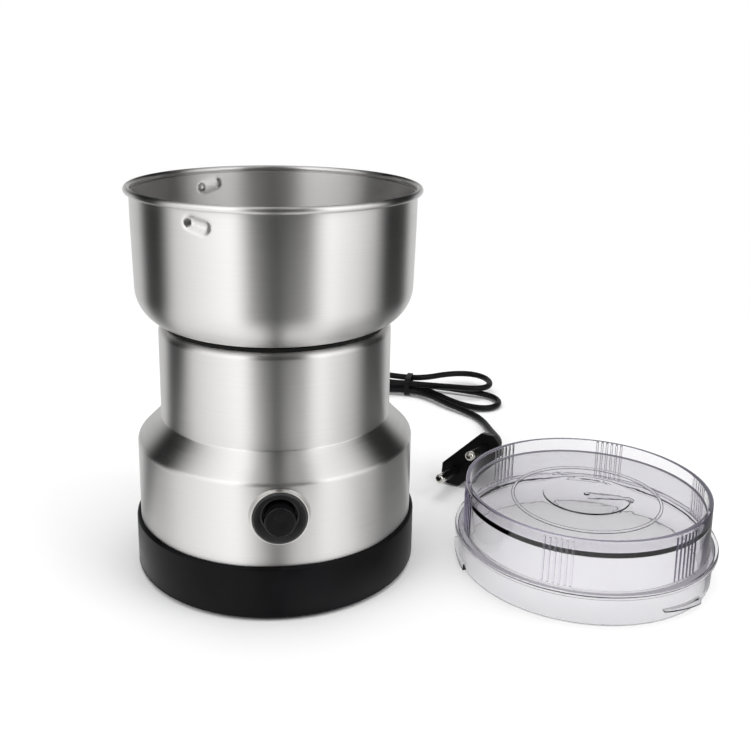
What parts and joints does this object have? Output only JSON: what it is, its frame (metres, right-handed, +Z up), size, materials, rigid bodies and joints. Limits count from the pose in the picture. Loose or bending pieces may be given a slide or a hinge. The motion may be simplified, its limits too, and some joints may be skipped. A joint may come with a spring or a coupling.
{
  "type": "electric kitchen grinder",
  "caption": "Small electric grinder: brushed steel stepped body on a black base, open steel bowl with crossed blades, push button, clear twist-on lid set beside it, tied cord and two-pin plug.",
  "frame": {"origin": "centre of the rubber ring under the base, on the surface that the grinder stands on", "axes": "+Z up along the motor's shaft, -Y towards the side with the button, +X towards the lid that stands beside the body"},
  "size_m": [0.2281, 0.2814, 0.1482],
  "materials": {
    "steel": "horizontal fine brushing, rim polished",
    "blade": "ground and polished",
    "fastener": "bright zinc",
    "black": "satin moulded",
    "button": "smooth moulded",
    "rubber": "matt",
    "cord": "satin sheath",
    "clear": "clear moulded, faintly tinted",
    "nylon": "moulded nylon",
    "iron": "stamped laminations",
    "shaftsteel": "ground",
    "copper": "enamelled wire",
    "brassy": "bare metal",
    "carbon": "pressed carbon",
    "alloy": "die cast",
    "nickel": "nickel plated"
  },
  "bodies": {
    "grinder": {"foot_ring": "rubber", "base_plate": "black", "base_cup": "black", "base_screws": "fastener", "case_screws": "fastener", "housing_shell": "steel", "bowl": "steel", "bowl_gasket": "rubber", "bowl_screws": "fastener", "shaft_seal": "rubber", "bowl_carrier": "nylon", "motor_dampers": "rubber", "bracket_screws": "fastener", "upper_motor_bracket": "alloy", "lower_motor_bracket": "alloy", "motor_screws": "fastener", "upper_bearing": "shaftsteel", "lower_bearing": "shaftsteel", "stator_core": "iron", "field_coils": "copper", "brush_holders": "nylon", "carbon_brushes": "carbon", "brush_springs": "brassy", "button_bezel": "black", "bezel_nut": "black", "button_spring": "fastener", "switch_body": "black", "switch_terminals": "brassy", "cord_gland": "cord", "plug_body": "cord", "plug_pins": "nickel", "pin_sleeves": "black", "cord_hank": "cord", "hank_tie": "black", "cord_exit_run": "cord", "cord_plug_run": "cord"},
    "rotor": {"motor_shaft": "shaftsteel", "armature_core": "iron", "armature_winding": "copper", "commutator": "brassy", "shaft_washers": "nylon", "cooling_fan": "black", "lower_blade": "blade", "upper_blade": "blade", "blade_hub": "blade", "blade_washer": "blade", "blade_nut": "blade"},
    "button": {"button_cap": "button"},
    "lid": {"lid": "clear"}
  },
  "joints": [
    {"name": "blade_spin", "type": "hinge", "parent": "grinder", "child": "rotor", "pos_m": [0, 0, 0.1], "axis": [0, 0, 1], "continuous": true},
    {"name": "button_press", "type": "slide", "parent": "grinder", "child": "button", "axis": [0, 1, 0], "range_m": [0, 0.003], "stiffness_N_per_m": 500, "springref_m": -0.003, "deforming": ["button_spring"]},
    {"name": "lid_lift", "type": "slide", "parent": "grinder", "child": "lid", "axis": [0, 0, 1], "range_m": [0, 0.2]}
  ]
}
